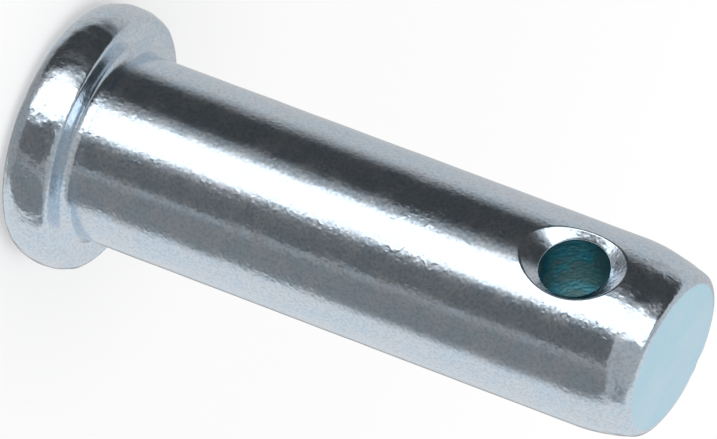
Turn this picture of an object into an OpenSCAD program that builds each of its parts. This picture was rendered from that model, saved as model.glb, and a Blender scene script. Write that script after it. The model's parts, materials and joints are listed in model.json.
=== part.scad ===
/* [Shank] */
// Diameter of the shank
shank_d = 7.9; // [6.5:0.05:8.8]
// Length from the underside of the head to the middle of the end face
shank_len = 25.4; // [12:0.1:60]
// Radius of the fillet where the shank meets the head
neck_fillet_r = 0.4; // [0.1:0.05:0.6]

/* [Head] */
// Diameter of the head where its side bulges most
head_d = 11.1; // [10.4:0.05:16]
// Height of the head
head_h = 2.35; // [2:0.05:2.8]
// Height of the widest place above the head's flat top
widest_z = 1.4; // [1.1:0.05:1.65]
// Radius of the bulge of the head's side
side_r = 2; // [1.8:0.05:4]
// Radius of the round at the top of the head's rim
crown_r = 1.05; // [0.3:0.05:1.25]
// Radius of the round at the underside of the head's rim
seat_edge_r = 0.25; // [0.1:0.05:0.4]

/* [Point] */
// Length of the taper, from its corner with the shank to the middle of the end face
point_len = 1.9; // [1.2:0.05:3]
// Diameter of the taper at the middle of the end face
point_d = 6.9; // [5.2:0.05:7.3]
// Radius of the soft shoulder where the shank runs into the taper
shoulder_r = 3.5; // [0.5:0.1:5]
// Radius of the rounded edge of the end face
point_edge_r = 0.4; // [0.1:0.05:0.7]
// Angle by which the cropped end face leans from square
crop_angle = 4.2; // [0:0.1:8]
// Direction in which the end face is lowest, turned from +X towards +Y
crop_direction = 41; // [0:1:359]

/* [Cotter hole] */
// Diameter of the cross hole
hole_d = 2.8; // [1.6:0.05:3.4]
// Distance from the axis of the cross hole to the middle of the end face
hole_to_end = 4.15; // [3.6:0.05:8]
// Diameter of the countersink where it leaves the side of the shank
sink_d = 4.5; // [3.6:0.05:5]
// Included angle of the countersink
sink_angle = 110; // [70:1:140]

/* [Hidden] */
$fn = 96;

zinc = "lightsteelblue";
// How far a cutting solid reaches past what it cuts
overrun = 1;
// How far a blending arc stands proud of the sides that it blends, so that it
// crosses them and never only touches
hair = 0.002;
// Angle at which the rounded edge of the end face crosses the taper on the
// lowest side, for the same reason
edge_turn = 12;

shank_r = shank_d / 2;
head_r = head_d / 2;
point_r = point_d / 2;
hole_r = hole_d / 2;
sink_r = sink_d / 2;

end_z = head_h + shank_len;
corner_z = end_z - point_len;
hole_z = end_z - hole_to_end;
taper = atan((shank_r - point_r) / point_len);
sink_slope = tan(sink_angle / 2);

// Part of a half-profile: all that lies from the axis out to r.
module band(r, z_low, z_high) {
    translate([0, z_low])
        square([r, z_high - z_low]);
}

// What a rounded corner takes off the sides that meet there: the wedge between
// two directions from the arc's centre, less the arc's circle.
module soften(centre, r, from, to) {
    reach = 2 * r;
    translate(centre)
        difference() {
            polygon([[0, 0], reach * [cos(from), sin(from)], reach * [cos(to), sin(to)]]);
            circle(r + hair);
        }
}

// Half-profile of the head, a disc whose side bulges, with a deep round at the
// top of its rim and a light one at its underside. Its flat top is at z = 0.
// Each round's centre is as far from the bulge's centre as the radii differ.
module head_profile() {
    side_x = head_r - side_r;
    crown_rise = crown_r - widest_z;
    crown_out = sqrt(pow(side_r - crown_r, 2) - pow(crown_rise, 2));
    seat_edge_z = head_h - seat_edge_r;
    seat_rise = seat_edge_z - widest_z;
    seat_out = sqrt(pow(side_r - seat_edge_r, 2) - pow(seat_rise, 2));
    difference() {
        intersection() {
            band(head_r + overrun, 0, head_h);
            union() {
                band(side_x, 0, head_h);
                translate([side_x, widest_z])
                    circle(side_r);
            }
        }
        soften([side_x + crown_out, crown_r], crown_r, -90, atan2(crown_rise, crown_out));
        soften([side_x + seat_out, seat_edge_z], seat_edge_r, atan2(seat_rise, seat_out), 90);
    }
}

// Concave fillet in the corner between the shank and the underside of the head.
module neck_profile() {
    fillet_x = shank_r + neck_fillet_r;
    fillet_z = head_h + neck_fillet_r;
    difference() {
        band(fillet_x, head_h, fillet_z);
        translate([fillet_x, fillet_z])
            circle(neck_fillet_r);
    }
}

// Half-profile of the shank and its taper, with the soft shoulder between them.
// The taper runs on past the end face for the crop to cut.
module shank_profile() {
    past_z = end_z + overrun;
    past_r = point_r - overrun * tan(taper);
    shoulder_z = corner_z - shoulder_r * tan(taper / 2);
    difference() {
        polygon([[0, 0], [shank_r, 0], [shank_r, corner_z], [past_r, past_z], [0, past_z]]);
        soften([shank_r - shoulder_r, shoulder_z], shoulder_r, 0, taper);
    }
}

// The pin as it is headed: one solid of revolution, standing on its head.
module blank() {
    rotate_extrude() {
        head_profile();
        neck_profile();
        shank_profile();
    }
}

// All that the crop leaves: what is under the leaning end face and inside the
// arc of its rounded edge. It is centred on the oval that the end face cuts out
// of the taper. Below the place where the arc reaches the taper it opens out,
// so that it cuts nothing more.
module crop_limit() {
    oval_r = point_r / cos(crop_angle);
    oval_x = oval_r * sin(crop_angle) * tan(taper);
    steepest = taper + crop_angle;
    meet = steepest + edge_turn;
    edge_drop = point_edge_r * (1 - sin(meet));
    edge_x = oval_r + edge_drop * tan(steepest) - point_edge_r * cos(meet);
    open_z = -point_edge_r * (1 - sin(meet / 2));
    translate([0, 0, end_z])
        rotate([0, crop_angle, crop_direction])
            translate([oval_x, 0, 0])
                rotate_extrude() {
                    band(edge_x, -point_edge_r, 0);
                    translate([edge_x, -point_edge_r])
                        circle(point_edge_r);
                    band(head_r + end_z, -head_r - end_z, open_z);
                }
}

// The cross hole, drilled right through.
module cross_hole() {
    translate([0, shank_r + overrun, hole_z])
        rotate([90, 0, 0])
            cylinder(h = shank_d + 2 * overrun, r = hole_r);
}

// One countersink: a cone with the rim's diameter at the side of the shank,
// which runs on to its tip inside the hole.
module countersink() {
    mouth_r = sink_r + overrun * sink_slope;
    translate([0, shank_r + overrun, hole_z])
        rotate([90, 0, 0])
            cylinder(h = mouth_r / sink_slope, r1 = mouth_r, r2 = 0);
}

module clevis_pin() {
    color(zinc)
        difference() {
            intersection() {
                blank();
                crop_limit();
            }
            cross_hole();
            countersink();
            mirror([0, 1, 0])
                countersink();
        }
}

clevis_pin();
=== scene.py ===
"""A zinc-plated clevis pin that stands on its head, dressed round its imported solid.

Shapes are worked out in millimetres as numpy arrays and written to the mesh in metres.
"""

import json
import math

import bmesh
import bpy
import numpy as np
from mathutils import Matrix, Vector


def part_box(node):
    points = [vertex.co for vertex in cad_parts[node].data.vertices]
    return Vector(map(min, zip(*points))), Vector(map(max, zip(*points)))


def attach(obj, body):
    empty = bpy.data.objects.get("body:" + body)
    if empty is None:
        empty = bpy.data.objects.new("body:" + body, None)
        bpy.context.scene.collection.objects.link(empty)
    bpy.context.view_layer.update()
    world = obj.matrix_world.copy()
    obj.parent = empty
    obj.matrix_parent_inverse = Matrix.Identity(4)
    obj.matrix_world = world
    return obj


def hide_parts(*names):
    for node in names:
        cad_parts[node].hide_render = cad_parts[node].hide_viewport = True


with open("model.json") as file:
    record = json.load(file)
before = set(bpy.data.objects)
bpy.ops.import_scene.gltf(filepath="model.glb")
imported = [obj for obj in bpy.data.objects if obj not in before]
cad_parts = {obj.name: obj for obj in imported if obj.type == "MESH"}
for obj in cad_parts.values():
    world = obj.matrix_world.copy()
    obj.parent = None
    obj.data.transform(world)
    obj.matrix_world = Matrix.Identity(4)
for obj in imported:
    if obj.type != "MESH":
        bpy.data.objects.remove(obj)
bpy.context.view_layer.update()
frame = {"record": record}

MM = 0.001
MOUNTS = {m["name"]: m for m in frame["record"]["mounts"]}

# Sizes in millimetres that the frame gives
SHANK_R = MOUNTS["shank"]["dims"]["r_mm"]
HOLE_R = MOUNTS["cotter_hole"]["dims"]["r_mm"]
HOLE_Z = MOUNTS["cotter_hole"]["pos_m"][2] / MM
HOLE_WALL = MOUNTS["cotter_hole"]["dims"]["length_mm"] / 2
HEAD_H = MOUNTS["head_seat"]["pos_m"][2] / MM
HEAD_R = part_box("clevis_pin")[1].x / MM

# Sizes in millimetres of the forms between them, as the solid has them
SHANK_LEN = 25.4
NECK_FILLET_R = 0.4
WIDEST_Z = 1.4
SIDE_R = 2
CROWN_R = 1.05
SEAT_EDGE_R = 0.25
POINT_LEN = 1.9
POINT_R = 3.45
SHOULDER_R = 3.5
POINT_EDGE_R = 0.4
SINK_R = 2.25
SINK_SLOPE = math.tan(math.radians(55))
CROP_ANGLE = math.radians(4.2)
CROP_DIRECTION = math.radians(41)

END_Z = HEAD_H + SHANK_LEN
TAPER_SLOPE = (SHANK_R - POINT_R) / POINT_LEN
SHOULDER_DEPTH = 2 * SHOULDER_R * math.tan(math.atan(TAPER_SLOPE) / 2) * TAPER_SLOPE
# The taper is a little off centre: on one side it is short, steep and sharper
STEEP_SLOPE = 0.42
STEEP_DEPTH = 0.07
STEEP_DIRECTION = math.radians(-47)

# The hole's window in the side of the pin: half its height in millimetres and half
# its width in columns of the grid
COLUMNS = 288
WINDOW_HALF_H = 2.9
WINDOW_HALF_COLUMNS = 38
SHOULDER_START_Z = 25.3
# Rows of the grid along the shank, beside the hole and up to the window's top
SHANK_ROWS = 90
WINDOW_ROWS = 26
SHOULDER_ROWS = 11
# Radius of the fan of triangles that closes the head's top, and the end face's as a
# share of the face
HUB_R = 0.4
FACE_HUB = 0.04
# Dents and waves in the metal: depth, shortest and longest wave in millimetres, seed
POINT_DENTS = (0.006, 0.45, 0.9, 3)
RIM_DENTS = (0.005, 0.5, 1, 5)
SHANK_WAVES = (0.0025, 1.2, 4, 7)
FACE_WAVES = (0.004, 1.5, 4, 9)
# How far the waves are shifted inwards, in units of their spread
DENT_BIAS = 1.5
# Millimetres over which each of them sets in or ends, by height or distance from the
# axis, and the share of a normal that counts as facing up
POINT_START = (26.1, 26.6)
RIM_START = (4.4, 5)
RIM_LOW_END = (0.02, 0.4)
RIM_HIGH_END = (2.2, 2.35)
SHANK_START = (2.8, 4)
FACE_START = (27, 27.3)
FACING_UP = (0.5, 0.9)
# Nicks in the end face's edge: degrees round the pin, width and depth in millimetres
NICKS = [(126, 0.22, 0.09), (113, 0.16, 0.06)]
# Radii of the soft edges at the mouth of the bore and round the countersink's rim
MOUTH_EDGE_R = 0.12
RIM_SOFTNESS = 0.05
# Half-width of the rim's close rings as a multiple of its softness, and how far past
# the countersink's radius its rim is looked for
RIM_SPREAD = 1.4
RIM_SEARCH = 0.4


# ---------------------------------------------------------------- shapes


def arc(centre, radius, start, end, count):
    """Points on a circle from angle start to angle end, in degrees: the centre plus
    the radius times the angle's cosine and sine. Returns radii and heights."""
    turn = np.radians(np.linspace(start, end, count))
    return centre[0] + radius * np.cos(turn), centre[1] + radius * np.sin(turn)


def steepness(theta):
    """How much of the taper's steep side an angle has: the cube of the cosine of the
    angle from STEEP_DIRECTION, and none on the far half."""
    return np.clip(np.cos(theta - STEEP_DIRECTION), 0, 1) ** 3


def taper_slope(theta):
    """Fall of the taper's radius for each millimetre up, over angle theta."""
    return TAPER_SLOPE + (STEEP_SLOPE - TAPER_SLOPE) * steepness(theta)


def soft_min(a, b, width):
    """The lower of a and b, blended over width with a parabola where they cross."""
    share = np.clip(0.5 + 0.5 * (b - a) / width, 0, 1)
    return a * share + b * (1 - share) - width * share * (1 - share)


def side_radius(z, theta):
    """Radius of the pin's side, shank, shoulder and taper: the lower of the shank's
    radius and the taper's line through the edge of the end face, softly joined."""
    line = POINT_R + (END_Z - z) * taper_slope(theta)
    depth = SHOULDER_DEPTH + (STEEP_DEPTH - SHOULDER_DEPTH) * steepness(theta)
    return soft_min(SHANK_R, line, depth)


def head_rows():
    """Half-profile from the centre of the head's top to the start of the shank, as
    radii and heights: straight runs joined by the arcs of the crown, the bulging side,
    the seat's edge and the neck fillet. The crown's and the seat edge's centres are as
    far from the bulge's centre as the radii differ."""
    side_x, seat_z = HEAD_R - SIDE_R, HEAD_H - SEAT_EDGE_R
    crown_x = side_x + math.sqrt((SIDE_R - CROWN_R) ** 2 - (WIDEST_Z - CROWN_R) ** 2)
    seat_x = side_x + math.sqrt((SIDE_R - SEAT_EDGE_R) ** 2 - (seat_z - WIDEST_Z) ** 2)
    crown_turn = math.degrees(math.atan2(CROWN_R - WIDEST_Z, crown_x - side_x))
    seat_turn = math.degrees(math.atan2(seat_z - WIDEST_Z, seat_x - side_x))
    neck_x, neck_z = SHANK_R + NECK_FILLET_R, HEAD_H + NECK_FILLET_R
    runs = [
        (np.linspace(HUB_R, crown_x, 10), np.zeros(10)),
        arc((crown_x, CROWN_R), CROWN_R, -90, crown_turn, 14),
        arc((side_x, WIDEST_Z), SIDE_R, crown_turn, seat_turn, 16),
        arc((seat_x, seat_z), SEAT_EDGE_R, seat_turn, 90, 8),
        (np.linspace(seat_x, neck_x, 10), np.full(10, HEAD_H)),
        arc((neck_x, neck_z), NECK_FILLET_R, 270, 180, 9),
    ]
    radii = np.concatenate([r if i == 0 else r[1:] for i, (r, _) in enumerate(runs)])
    heights = np.concatenate([z if i == 0 else z[1:] for i, (_, z) in enumerate(runs)])
    return radii, heights


def body_rows(theta):
    """Radii and heights of the rows over each angle theta from the centre of the head's
    top to the height where the hole's window ends, and the row where it starts."""
    radii, heights = head_rows()
    low, high = HOLE_Z - WINDOW_HALF_H, HOLE_Z + WINDOW_HALF_H
    shank = np.linspace(heights[-1], low, SHANK_ROWS + 1)[1:]
    window = np.linspace(low, SHOULDER_START_Z, WINDOW_ROWS + 1)[1:]
    shoulder = np.linspace(SHOULDER_START_Z, high, SHOULDER_ROWS + 1)[1:]
    side = np.concatenate([shank, window, shoulder])[:, None]
    radii = np.concatenate([radii[:, None] + 0 * theta, side_radius(side, theta)])
    first = len(heights) + len(shank) - 1
    return radii, np.concatenate([heights, side[:, 0]])[:, None] + 0 * theta, first


def point_rows(theta, cone_rows=16, edge_rows=10, face_rows=26):
    """Radii and heights of the point's rows over each angle theta: up the taper from
    the window's top, round the edge's arc and in over the leaning end face. The end
    face is the plane that falls by tan(lean) towards CROP_DIRECTION, so the taper
    meets it at POINT_R / (1 - tan(lean) slope cos(theta - direction))."""
    slope = taper_slope(theta)
    fall = math.tan(CROP_ANGLE) * np.cos(theta - CROP_DIRECTION)
    corner_r = POINT_R / (1 - fall * slope)
    corner_z = END_Z - corner_r * fall
    length = np.hypot(1, slope)
    up = np.stack([-slope, np.ones_like(slope)]) / length
    out = np.stack([np.ones_like(slope), slope]) / length
    inward = np.stack([-np.ones_like(fall), fall]) / np.hypot(1, fall)
    turn = np.arccos(np.clip((up * inward).sum(0), -1, 1))
    run = POINT_EDGE_R * np.tan(turn / 2)
    start_r, start_z = corner_r - run * up[0], corner_z - run * up[1]
    centre_r, centre_z = start_r - POINT_EDGE_R * out[0], start_z - POINT_EDGE_R * out[1]
    base_z = HOLE_Z + WINDOW_HALF_H
    share = np.linspace(0, 1, cone_rows + 1)[1:, None]
    cone_z = base_z + (start_z - base_z) * share
    angle = turn * np.linspace(0, 1, edge_rows + 1)[1:, None]
    edge_r = centre_r + POINT_EDGE_R * (np.cos(angle) * out[0] + np.sin(angle) * up[0])
    edge_z = centre_z + POINT_EDGE_R * (np.cos(angle) * out[1] + np.sin(angle) * up[1])
    scale = np.linspace(1, FACE_HUB, face_rows + 1)[1:, None]
    face_r = edge_r[-1] * scale
    face_z = END_Z + (edge_z[-1] - END_Z) * scale
    radii = np.concatenate([side_radius(cone_z, theta), edge_r, face_r])
    return radii, np.concatenate([cone_z, edge_z, face_z]), face_rows


def side_height(x, z, side):
    """Distance from the axis plane to the pin's side beside a hole mouth, found from
    the side's radius at the angle that x has on the shank."""
    theta = side * np.arccos(np.clip(x / SHANK_R, -1, 1))
    return np.sqrt(np.maximum(side_radius(z, theta) ** 2 - x**2, 0))


def mouth_height(x, z, side):
    """Distance from the axis plane to the pin's surface over a point beside the hole's
    axis: the lower of the side and the countersink's cone, softly joined."""
    cone = HOLE_WALL + (np.hypot(x, z - HOLE_Z) - HOLE_R) / SINK_SLOPE
    return soft_min(side_height(x, z, side), cone, RIM_SOFTNESS)


def rim_reach(phi, side):
    """Distance from the hole's axis at which the countersink meets the side, in each
    direction phi round the hole, found by halving the bracket 30 times."""
    near = np.full_like(phi, HOLE_R)
    far = np.full_like(phi, SINK_R + RIM_SEARCH)
    for _ in range(30):
        middle = (near + far) / 2
        cone = HOLE_WALL + (middle - HOLE_R) / SINK_SLOPE
        inside = cone < side_height(middle * np.cos(phi), HOLE_Z + middle * np.sin(phi), side)
        near, far = np.where(inside, middle, near), np.where(inside, far, middle)
    return near


def mouth_rings(edge_x, edge_z, side):
    """Rings of one hole mouth, from the bore's wall to the window's edge. Along each
    ray: the arc of the mouth's edge, the cone, the soft rim and the side of the pin,
    out to the window's own vertex. side is 1 on +Y and -1 on -Y."""
    phi = np.arctan2(edge_z - HOLE_Z, edge_x)
    cone_angle = math.atan(SINK_SLOPE)
    start_y = HOLE_WALL - MOUTH_EDGE_R * math.tan(cone_angle / 2)
    turn = np.linspace(0, cone_angle, 7)[:, None]
    arc_rho = HOLE_R + MOUTH_EDGE_R * (1 - np.cos(turn)) + 0 * phi
    arc_y = start_y + MOUTH_EDGE_R * np.sin(turn) + 0 * phi
    rim = rim_reach(phi, side)
    soft = RIM_SPREAD * RIM_SOFTNESS
    cone_rho = arc_rho[-1] + (rim - soft - arc_rho[-1]) * np.linspace(0, 1, 6)[1:, None]
    rim_rho = rim - soft + 2 * soft * np.linspace(0, 1, 11)[1:, None]
    edge_rho = np.hypot(edge_x, edge_z - HOLE_Z)
    side_rho = rim_rho[-1] + (edge_rho - rim_rho[-1]) * np.linspace(0, 1, 10)[1:-1, None]
    rho = np.concatenate([cone_rho, rim_rho, side_rho])
    x, z = rho * np.cos(phi), HOLE_Z + rho * np.sin(phi)
    rings_x = np.concatenate([arc_rho * np.cos(phi), x])
    rings_y = side * np.concatenate([arc_y, mouth_height(x, z, side)])
    rings_z = np.concatenate([HOLE_Z + arc_rho * np.sin(phi), z])
    return np.stack([rings_x, rings_y, rings_z], -1)


def strip_faces(lower, upper):
    """Quads between two closed rows of vertex numbers with as many vertices each."""
    return np.stack([lower, np.roll(lower, -1), np.roll(upper, -1), upper], -1)


def pin_mesh():
    """Vertices, quads and triangles of the whole pin and a material number for each
    face: a grid of rows round the axis, with a window cut out on either side, the
    hole's mouths set in them and the bore between."""
    theta = np.arange(COLUMNS) * 2 * math.pi / COLUMNS
    body_r, body_z, bottom = body_rows(theta)
    tip_r, tip_z, face_rows = point_rows(theta)
    radii = np.concatenate([body_r, tip_r])
    heights = np.concatenate([body_z, tip_z])
    rows = len(radii)
    grid = np.stack([radii * np.cos(theta), radii * np.sin(theta), heights], -1)
    number = np.arange(rows * COLUMNS).reshape(rows, COLUMNS)
    right = np.roll(number, -1, axis=1)
    quads = np.stack([number[:-1], right[:-1], right[1:], number[1:]], -1)
    kept = np.ones((rows - 1, COLUMNS), bool)
    kinds = np.zeros((rows - 1, COLUMNS), int)
    kinds[rows - 1 - face_rows :] = 2

    top = len(body_r) - 1
    points, faces, numbers = [grid.reshape(-1, 3)], [], []
    count = rows * COLUMNS
    mouths = []
    for side in (1, -1):
        middle = COLUMNS // 4 if side == 1 else 3 * COLUMNS // 4
        columns = middle + side * np.arange(WINDOW_HALF_COLUMNS, -WINDOW_HALF_COLUMNS - 1, -1)
        low, high = columns.min(), columns.max()
        kept[bottom:top, low:high] = False
        upward = np.arange(bottom, top)
        loop = np.concatenate([
            number[bottom, columns[:-1]],
            number[upward, columns[-1]],
            number[top, columns[:0:-1]],
            number[upward[::-1] + 1, columns[0]],
        ])
        edge = grid.reshape(-1, 3)[loop]
        rings = mouth_rings(edge[:, 0], edge[:, 2], side)
        shape = rings.shape[:2]
        ring_numbers = count + np.arange(shape[0] * shape[1]).reshape(shape)
        count += ring_numbers.size
        points.append(rings.reshape(-1, 3))
        stack = np.concatenate([ring_numbers, loop[None]])
        faces.append(np.concatenate([strip_faces(a, b) for a, b in zip(stack, stack[1:])]))
        numbers.append(np.zeros(len(faces[-1]), int))
        mouths.append((rings[0], ring_numbers[0]))

    (front, front_numbers), (back, back_numbers) = mouths
    share = np.linspace(0, 1, 16)[1:-1, None, None]
    wall = front + (back - front) * share
    wall_numbers = count + np.arange(wall.shape[0] * wall.shape[1]).reshape(wall.shape[:2])
    count += wall_numbers.size
    points.append(wall.reshape(-1, 3))
    stack = np.concatenate([front_numbers[None], wall_numbers, back_numbers[None]])
    faces.append(np.concatenate([strip_faces(a, b) for a, b in zip(stack, stack[1:])]))
    numbers.append(np.ones(len(faces[-1]), int))

    poles = np.array([[0, 0, 0], [0, 0, END_Z]])
    points.append(poles)
    first, last = number[0], number[-1]
    fans = np.concatenate([
        np.stack([np.roll(first, -1), first, np.full(COLUMNS, count)], -1),
        np.stack([last, np.roll(last, -1), np.full(COLUMNS, count + 1)], -1),
    ])
    fan_kinds = np.repeat([0, 2], COLUMNS)
    quads = np.concatenate([quads[kept], *faces])
    kinds = np.concatenate([kinds[kept], *numbers])
    return np.concatenate(points), quads, fans, np.concatenate([kinds, fan_kinds])


def make_object(name, points, quads, triangles, kinds, materials):
    """A smooth mesh object at the origin from points in millimetres. Loose points are
    dropped, doubles merged and faces turned outwards."""
    used = np.unique(np.concatenate([quads.ravel(), triangles.ravel()]))
    renumber = np.full(len(points), -1)
    renumber[used] = np.arange(len(used))
    corners = np.concatenate([quads.ravel(), triangles.ravel()])
    sizes = np.concatenate([np.full(len(quads), 4), np.full(len(triangles), 3)])
    mesh = bpy.data.meshes.new(name)
    mesh.vertices.add(len(used))
    mesh.vertices.foreach_set("co", (points[used] * MM).astype(np.float32).ravel())
    mesh.loops.add(len(corners))
    mesh.loops.foreach_set("vertex_index", renumber[corners].astype(np.int32))
    mesh.polygons.add(len(sizes))
    mesh.polygons.foreach_set("loop_start", (np.cumsum(sizes) - sizes).astype(np.int32))
    mesh.polygons.foreach_set("material_index", kinds.astype(np.int32))
    mesh.update(calc_edges=True)
    mesh.validate()
    for material in materials:
        mesh.materials.append(material)
    work = bmesh.new()
    work.from_mesh(mesh)
    bmesh.ops.remove_doubles(work, verts=work.verts, dist=1e-8)
    bmesh.ops.recalc_face_normals(work, faces=work.faces)
    work.to_mesh(mesh)
    work.free()
    mesh.polygons.foreach_set("use_smooth", np.ones(len(mesh.polygons), bool))
    mesh.update()
    made = bpy.data.objects.new(name, mesh)
    bpy.context.scene.collection.objects.link(made)
    return made


def smooth_step(value, start, end):
    """0 below start, 1 past end and the cubic 3t^2 - 2t^3 between."""
    share = np.clip((value - start) / (end - start), 0, 1)
    return share * share * (3 - 2 * share)


def waves(points, shortest, longest, seed, count=28):
    """Uneven waves over the points: the sum of count sines in random directions, with
    lengths between shortest and longest, scaled to a spread of one."""
    random = np.random.default_rng(seed)
    directions = random.normal(size=(3, count))
    directions /= np.linalg.norm(directions, axis=0)
    turns = 2 * math.pi / random.uniform(shortest, longest, count)
    phases = random.uniform(0, 2 * math.pi, count)
    return np.sin(points @ (directions * turns) + phases).sum(1) * math.sqrt(2 / count)


def dents(points, depth, shortest, longest, seed):
    """How far one kind of dent moves each point out, mostly less than nothing."""
    return depth * (waves(points, shortest, longest, seed) - DENT_BIAS)


def dent(made):
    """Moves every vertex along its normal, mostly inwards: by close dents on the taper
    and the head's side, by long shallow waves on the shank and the end face, and by a
    bell curve of the distance round each nick's place on the end face's edge."""
    mesh = made.data
    places = np.empty(len(mesh.vertices) * 3, np.float32)
    normals = np.empty_like(places)
    mesh.vertices.foreach_get("co", places)
    mesh.vertices.foreach_get("normal", normals)
    points, normals = places.reshape(-1, 3).astype(float) / MM, normals.reshape(-1, 3)
    height, reach = points[:, 2], np.hypot(points[:, 0], points[:, 1])
    facing_up = smooth_step(normals[:, 2], *FACING_UP)
    point = smooth_step(height, *POINT_START) * (1 - facing_up)
    rim = smooth_step(reach, *RIM_START) * smooth_step(height, *RIM_LOW_END)
    rim *= 1 - smooth_step(height, *RIM_HIGH_END)
    shank = smooth_step(height, *SHANK_START) * (1 - point) * (1 - facing_up)
    end = smooth_step(height, *FACE_START) * facing_up
    depth = (
        point * dents(points, *POINT_DENTS)
        + rim * dents(points, *RIM_DENTS)
        + shank * dents(points, *SHANK_WAVES)
        + end * dents(points, *FACE_WAVES)
    )
    for degrees, width, deep in NICKS:
        turn = math.radians(degrees)
        lean = math.tan(CROP_ANGLE) * math.cos(turn - CROP_DIRECTION)
        place = POINT_R * np.array([math.cos(turn), math.sin(turn), -lean]) + (0, 0, END_Z)
        depth -= deep * np.exp(-((points - place) ** 2).sum(1) / width**2)
    moved = (points + normals * depth[:, None]) * MM
    mesh.vertices.foreach_set("co", moved.astype(np.float32).ravel())
    mesh.update()


# ---------------------------------------------------------------- nodes


def new_tree(owner):
    """An empty node tree of a material or world."""
    owner.use_nodes = True
    owner.node_tree.nodes.clear()
    return owner.node_tree


def new_group(name, inputs, outputs):
    """An empty shader group with its sockets, and its two end nodes."""
    tree = bpy.data.node_groups.new(name, "ShaderNodeTree")
    for direction, sockets in (("INPUT", inputs), ("OUTPUT", outputs)):
        for socket, kind in sockets:
            tree.interface.new_socket(socket, in_out=direction, socket_type="NodeSocket" + kind)
    return tree, tree.nodes.new("NodeGroupInput"), tree.nodes.new("NodeGroupOutput")


def feed(tree, socket, value):
    """Joins a socket to another node's output, or gives it a plain value."""
    if isinstance(value, bpy.types.NodeSocket):
        tree.links.new(value, socket)
    elif hasattr(value, "__len__") and len(value) == 3 and socket.type == "RGBA":
        socket.default_value = (*value, 1)
    else:
        socket.default_value = value


def maths(tree, operation, *values):
    """The result of a Math node on up to three values."""
    node = tree.nodes.new("ShaderNodeMath")
    node.operation = operation
    for socket, value in zip(node.inputs, values):
        feed(tree, socket, value)
    return node.outputs[0]


def ramp(tree, value, start, end, low=0.0, high=1.0):
    """A smooth step of value from start to end, between low and high."""
    node = tree.nodes.new("ShaderNodeMapRange")
    node.interpolation_type = "SMOOTHSTEP"
    for socket, given in zip(node.inputs, (value, start, end, low, high)):
        feed(tree, socket, given)
    return node.outputs[0]


def mix(tree, share, a, b):
    """Colour a and colour b mixed by share."""
    node = tree.nodes.new("ShaderNodeMix")
    node.data_type = "RGBA"
    feed(tree, node.inputs["Factor"], share)
    feed(tree, node.inputs[6], a)
    feed(tree, node.inputs[7], b)
    return node.outputs[2]


def noise(tree, place, size, detail=2.0):
    """Noise from 0 to 1 whose lumps are size long in the units of place."""
    node = tree.nodes.new("ShaderNodeTexNoise")
    feed(tree, node.inputs["Vector"], place)
    feed(tree, node.inputs["Scale"], maths(tree, "DIVIDE", 1.0, size))
    node.inputs["Detail"].default_value = detail
    return node.outputs["Fac"]


def place_mm(tree):
    """The Object coordinates, in millimetres."""
    node = tree.nodes.new("ShaderNodeVectorMath")
    node.operation = "SCALE"
    feed(tree, node.inputs[0], tree.nodes.new("ShaderNodeTexCoord").outputs["Object"])
    node.inputs["Scale"].default_value = 1 / MM
    return node.outputs[0]


def use_group(tree, group, **values):
    """A group's node with its inputs fed by name, where _ stands for a space."""
    node = tree.nodes.new("ShaderNodeGroup")
    node.node_tree = group
    for name, value in values.items():
        feed(tree, node.inputs[name.replace("_", " ")], value)
    return node.outputs


# ---------------------------------------------------------------- finishes

# Sizes in millimetres of the plating's pebbles, pimples, patches of pimples and dots
PEBBLE_SIZE = 0.17
PIMPLE_SIZE = 0.18
PATCH_SIZE = 5.0
DOT_SIZE = 0.14
DARK_DOT = (0.3, 0.32, 0.38)
PALE_DOT = (0.95, 0.95, 0.95)


def grain_group():
    """The fine pebbled grain of the plating, with pimples that come in patches. Height
    is in millimetres, Dark and Pale are masks of scattered dots and Stain one of
    stains of the given size, all from 0 to 1."""
    tree, given, made = new_group(
        "plating_grain",
        [("Place", "Vector"), ("Grain", "Float"), ("Pimples", "Float"), ("Stain Size", "Float")],
        [("Height", "Float"), ("Dark", "Float"), ("Pale", "Float"), ("Stain", "Float")],
    )
    place = given.outputs["Place"]
    pebbles = noise(tree, place, PEBBLE_SIZE, detail=0.5)
    pebbles = maths(tree, "MULTIPLY", pebbles, given.outputs["Grain"])
    pimples = ramp(tree, noise(tree, place, PIMPLE_SIZE, detail=0.0), 0.48, 0.85)
    patches = ramp(tree, noise(tree, place, PATCH_SIZE), 0.4, 0.6)
    pimples = maths(tree, "MULTIPLY", pimples, patches)
    pimples = maths(tree, "MULTIPLY", pimples, given.outputs["Pimples"])
    tree.links.new(maths(tree, "ADD", pebbles, pimples), made.inputs["Height"])
    dots = noise(tree, place, DOT_SIZE, detail=1.0)
    tree.links.new(ramp(tree, dots, 0.36, 0.5, 1, 0), made.inputs["Dark"])
    tree.links.new(ramp(tree, dots, 0.52, 0.7), made.inputs["Pale"])
    stains = noise(tree, place, given.outputs["Stain Size"], detail=3.0)
    tree.links.new(ramp(tree, stains, 0.38, 0.62), made.inputs["Stain"])
    return tree


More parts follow.
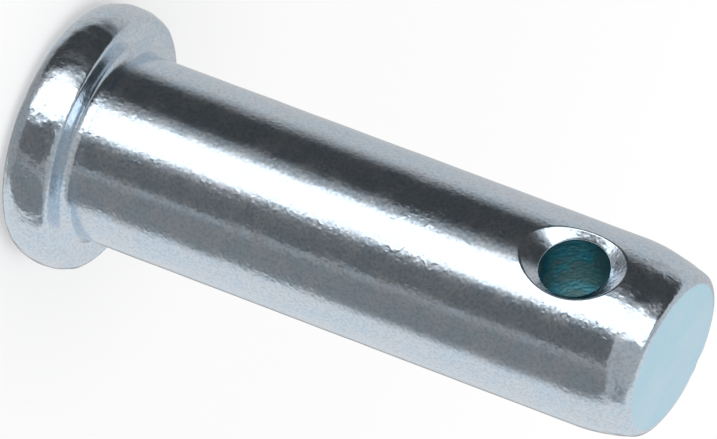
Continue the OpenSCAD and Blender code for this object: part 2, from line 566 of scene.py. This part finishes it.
def plated_metal(name, grain, colour, cool, warm, stain, dots, roughness, heights):
    """A zinc-plated surface: colour with cool and warm stains, whose strength and size
    in millimetres stain gives, and with dark and pale dots. The stains also carry the
    roughness from low to high. heights are those of the grain and its pimples."""
    material = bpy.data.materials.new(name)
    tree = new_tree(material)
    marks = use_group(
        tree, grain, Place=place_mm(tree), Grain=heights[0], Pimples=heights[1],
        Stain_Size=stain[1],
    )
    shade = mix(tree, stain[0], colour, mix(tree, marks["Stain"], cool, warm))
    shade = mix(tree, maths(tree, "MULTIPLY", marks["Dark"], dots), shade, DARK_DOT)
    shade = mix(tree, maths(tree, "MULTIPLY", marks["Pale"], dots), shade, PALE_DOT)
    surface = tree.nodes.new("ShaderNodeBsdfPrincipled")
    surface.inputs["Metallic"].default_value = 1.0
    feed(tree, surface.inputs["Base Color"], shade)
    feed(tree, surface.inputs["Roughness"], ramp(tree, marks["Stain"], 0, 1, *roughness))
    bump = tree.nodes.new("ShaderNodeBump")
    bump.inputs["Distance"].default_value = MM
    feed(tree, bump.inputs["Height"], marks["Height"])
    feed(tree, surface.inputs["Normal"], bump.outputs[0])
    end = tree.nodes.new("ShaderNodeOutputMaterial")
    tree.links.new(surface.outputs[0], end.inputs["Surface"])
    return material


# ---------------------------------------------------------------- the pin

grain = grain_group()
shank_zinc = plated_metal(
    "plated_shank", grain, colour=(0.66, 0.76, 0.85), cool=(0.6, 0.74, 0.87),
    warm=(0.74, 0.77, 0.82),
    stain=(0.4, 0.9), dots=0.2, roughness=(0.14, 0.19), heights=(0.004, 0.0045),
)
# The bore's colour and its stains are a dark teal, far below the shank's: painted shade inside
# the hole, darkening the plating's colour there.
bore_zinc_painted_shade = plated_metal(
    "bore_wall_painted_shade", grain, colour=(0.12, 0.42, 0.5), cool=(0.08, 0.4, 0.5),
    warm=(0.26, 0.34, 0.3),
    stain=(0.6, 0.8), dots=0.1, roughness=(0.35, 0.5), heights=(0.02, 0.0),
)
end_zinc = plated_metal(
    "cropped_end", grain, colour=(0.5, 0.76, 0.9), cool=(0.45, 0.73, 0.88),
    warm=(0.6, 0.8, 0.92),
    stain=(0.5, 2.5), dots=0.03, roughness=(0.12, 0.18), heights=(0.002, 0.0),
)

pin = make_object("pin_body", *pin_mesh(), [shank_zinc, bore_zinc_painted_shade, end_zinc])
dent(pin)
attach(pin, "root")
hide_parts("clevis_pin")


# ---------------------------------------------------------------- studio

# Where the camera stands: degrees round the pin from -Y, above the horizon and of
# roll, its distance in millimetres, and the pixel at which it sees the target
CAMERA_AZIMUTH = 33.21
CAMERA_ELEVATION = 20.73
CAMERA_ROLL = 110.58
CAMERA_DISTANCE = 372
TARGET_HEIGHT = 14.22
TARGET_PIXEL = (371.24, 241.62)
PICTURE = (717, 439)
PIXELS_PER_MM = 25.18
SENSOR = 36
CLIP_START, CLIP_END = 0.01, 2


def add_camera():
    """The camera looks along its azimuth and elevation, turned by its roll, and is
    moved aside so that the target falls on its pixel."""
    data = bpy.data.cameras.new("camera")
    camera = bpy.data.objects.new("camera", data)
    bpy.context.scene.collection.objects.link(camera)
    data.sensor_width = SENSOR
    data.lens = PIXELS_PER_MM * CAMERA_DISTANCE / PICTURE[0] * SENSOR
    turn, rise = math.radians(CAMERA_AZIMUTH), math.radians(CAMERA_ELEVATION)
    level = math.cos(rise)
    back = Vector((math.sin(turn) * level, -math.cos(turn) * level, math.sin(rise)))
    unrolled = (-back).to_track_quat("-Z", "Y")
    facing = unrolled @ Matrix.Rotation(math.radians(CAMERA_ROLL), 3, "Z").to_quaternion()
    right, up = facing @ Vector((1, 0, 0)), facing @ Vector((0, 1, 0))
    aside = [(TARGET_PIXEL[i] - PICTURE[i] / 2) / PIXELS_PER_MM for i in (0, 1)]
    target = Vector((0, 0, TARGET_HEIGHT))
    eye = target + back * CAMERA_DISTANCE - right * aside[0] + up * aside[1]
    camera.matrix_world = Matrix.Translation(eye * MM) @ facing.to_matrix().to_4x4()
    data.clip_start, data.clip_end = CLIP_START, CLIP_END
    bpy.context.scene.camera = camera


# The light tent round the pin, all in neutral greys. Every softbox or flag is a card on
# its wall: degrees round from the camera's side, degrees above the horizon, the
# softness in degrees of its left side, right side and ends, and its brightness.
TENT_R = 250
TENT_MIDDLE = 14
CARDS = [
    ("back_softbox", (-200, -110), (-60, 70), (12, 16, 12), 0.6),
    ("dark_flag", (-100, -50), (-70, 70), (16, 12, 10), 0.06),
    ("front_flag", (4, 38), (-60, 15), (8, 6, 8), 0.15),
    ("side_flag", (45, 85), (-60, 15), (8, 10, 10), 0.25),
    ("side_softbox", (90, 160), (-60, 60), (10, 12, 10), 0.8),
    ("end_softbox", (150, 210), (5, 70), (8, 8, 8), 0.8),
    ("main_softbox", (-38, -2), (-60, 60), (8, 6, 8), 1.7),
]
# The wall's own brightness at two heights in degrees
ROOM_LOW, ROOM_LOW_GREY = -80, 0.35
ROOM_HIGH, ROOM_HIGH_GREY = 80, 0.5

# The floor's radius in metres and its brightness, the distances over which it melts
# into white and how white it starts and ends
FLOOR_R = 0.4
FLOOR_GREY = 0.96
MELT_REACH = (0.01, 0.08)
MELT_WHITE = (0.4, 1)

# The lamp's size and place in metres and its power in watts, and the world's brightness
LAMP_SIZE = 0.3
LAMP_PLACE = (0.05, -0.05, 0.3)
LAMP_POWER = 0.55
WORLD_GREY = 0.55


def card_group():
    """One card over what lies under it: a window that is soft at its four edges."""
    tree, given, made = new_group(
        "card",
        [("Under", "Color"), ("Azimuth", "Float"), ("Height", "Float"), ("From", "Float"),
         ("To", "Float"), ("Bottom", "Float"), ("Top", "Float"), ("Left Softness", "Float"),
         ("Right Softness", "Float"), ("End Softness", "Float"), ("Colour", "Color")],
        [("Colour", "Color")],
    )
    azimuth, height = given.outputs["Azimuth"], given.outputs["Height"]
    window = 1.0
    for place, edge, softness, sign in (
        (azimuth, "From", "Left Softness", 1),
        (azimuth, "To", "Right Softness", -1),
        (height, "Bottom", "End Softness", 1),
        (height, "Top", "End Softness", -1),
    ):
        past = maths(tree, "SUBTRACT", place, given.outputs[edge])
        share = maths(tree, "DIVIDE", past, given.outputs[softness])
        side = ramp(tree, maths(tree, "MULTIPLY", share, sign), -0.5, 0.5)
        window = maths(tree, "MULTIPLY", window, side)
    result = mix(tree, window, given.outputs["Under"], given.outputs["Colour"])
    tree.links.new(result, made.inputs["Colour"])
    return tree


def tent_material():
    """The tent's wall: a grey that changes with height, and the cards over it."""
    material = bpy.data.materials.new("tent_wall")
    tree = new_tree(material)
    outward = tree.nodes.new("ShaderNodeVectorMath")
    outward.operation = "NORMALIZE"
    feed(tree, outward.inputs[0], tree.nodes.new("ShaderNodeTexCoord").outputs["Object"])
    turned = tree.nodes.new("ShaderNodeMapping")
    turned.inputs["Rotation"].default_value = (0, 0, math.radians(90 - CAMERA_AZIMUTH))
    tree.links.new(outward.outputs[0], turned.inputs["Vector"])
    parts = tree.nodes.new("ShaderNodeSeparateXYZ")
    tree.links.new(turned.outputs[0], parts.inputs[0])
    azimuth = maths(tree, "ARCTAN2", parts.outputs["Y"], parts.outputs["X"])
    azimuth = maths(tree, "DEGREES", azimuth)
    height = maths(tree, "DEGREES", maths(tree, "ARCSINE", parts.outputs["Z"]))
    rise = ramp(tree, height, ROOM_LOW, ROOM_HIGH)
    colour = mix(tree, rise, [ROOM_LOW_GREY] * 3, [ROOM_HIGH_GREY] * 3)
    group = card_group()
    for _, sides, ends, softness, grey in CARDS:
        colour = use_group(
            tree, group, Under=colour, Azimuth=azimuth, Height=height,
            From=sides[0], To=sides[1], Bottom=ends[0], Top=ends[1],
            Left_Softness=softness[0], Right_Softness=softness[1],
            End_Softness=softness[2], Colour=[grey] * 3,
        )["Colour"]
    light = tree.nodes.new("ShaderNodeEmission")
    tree.links.new(colour, light.inputs["Color"])
    end = tree.nodes.new("ShaderNodeOutputMaterial")
    tree.links.new(light.outputs[0], end.inputs["Surface"])
    material.cycles.emission_sampling = "NONE"
    return material


def add_tent():
    """A sphere round the pin that only reflections see."""
    work = bmesh.new()
    bmesh.ops.create_uvsphere(work, u_segments=96, v_segments=48, radius=TENT_R * MM)
    mesh = bpy.data.meshes.new("light_tent")
    work.to_mesh(mesh)
    work.free()
    mesh.materials.append(tent_material())
    tent = bpy.data.objects.new("light_tent", mesh)
    tent.location.z = TENT_MIDDLE * MM
    bpy.context.scene.collection.objects.link(tent)
    tent.visible_camera = tent.visible_diffuse = tent.visible_shadow = False
    tent.visible_transmission = tent.visible_volume_scatter = False


def add_floor():
    """A pale round floor that melts into white far from the pin."""
    work = bmesh.new()
    bmesh.ops.create_circle(work, cap_ends=True, segments=96, radius=FLOOR_R)
    mesh = bpy.data.meshes.new("floor")
    work.to_mesh(mesh)
    work.free()
    material = bpy.data.materials.new("pale_floor")
    tree = new_tree(material)
    diffuse = tree.nodes.new("ShaderNodeBsdfDiffuse")
    feed(tree, diffuse.inputs["Color"], [FLOOR_GREY] * 3)
    glow = tree.nodes.new("ShaderNodeEmission")
    path = tree.nodes.new("ShaderNodeLightPath")
    reach = tree.nodes.new("ShaderNodeVectorMath")
    reach.operation = "LENGTH"
    feed(tree, reach.inputs[0], tree.nodes.new("ShaderNodeTexCoord").outputs["Object"])
    melt = ramp(tree, reach.outputs["Value"], *MELT_REACH, *MELT_WHITE)
    far = maths(tree, "MULTIPLY", melt, path.outputs["Is Camera Ray"])
    blend = tree.nodes.new("ShaderNodeMixShader")
    tree.links.new(far, blend.inputs[0])
    tree.links.new(diffuse.outputs[0], blend.inputs[1])
    tree.links.new(glow.outputs[0], blend.inputs[2])
    end = tree.nodes.new("ShaderNodeOutputMaterial")
    tree.links.new(blend.outputs[0], end.inputs["Surface"])
    mesh.materials.append(material)
    floor = bpy.data.objects.new("floor", mesh)
    bpy.context.scene.collection.objects.link(floor)
    floor.visible_glossy = False


def add_lights():
    """A soft light overhead and a plain pale world, white where the camera sees it."""
    data = bpy.data.lights.new("overhead", "AREA")
    data.shape, data.size = "DISK", LAMP_SIZE
    data.energy = LAMP_POWER
    lamp = bpy.data.objects.new("overhead", data)
    lamp.location = LAMP_PLACE
    lamp.rotation_euler = (-lamp.location).to_track_quat("-Z", "Y").to_euler()
    lamp.visible_glossy = False
    bpy.context.scene.collection.objects.link(lamp)
    world = bpy.data.worlds.new("studio")
    bpy.context.scene.world = world
    tree = new_tree(world)
    path = tree.nodes.new("ShaderNodeLightPath")
    shade = mix(tree, path.outputs["Is Camera Ray"], [WORLD_GREY] * 3, (1, 1, 1))
    background = tree.nodes.new("ShaderNodeBackground")
    tree.links.new(shade, background.inputs["Color"])
    end = tree.nodes.new("ShaderNodeOutputWorld")
    tree.links.new(background.outputs[0], end.inputs["Surface"])


add_camera()
add_tent()
add_floor()
add_lights()
bpy.context.scene.view_settings.view_transform = "Standard"
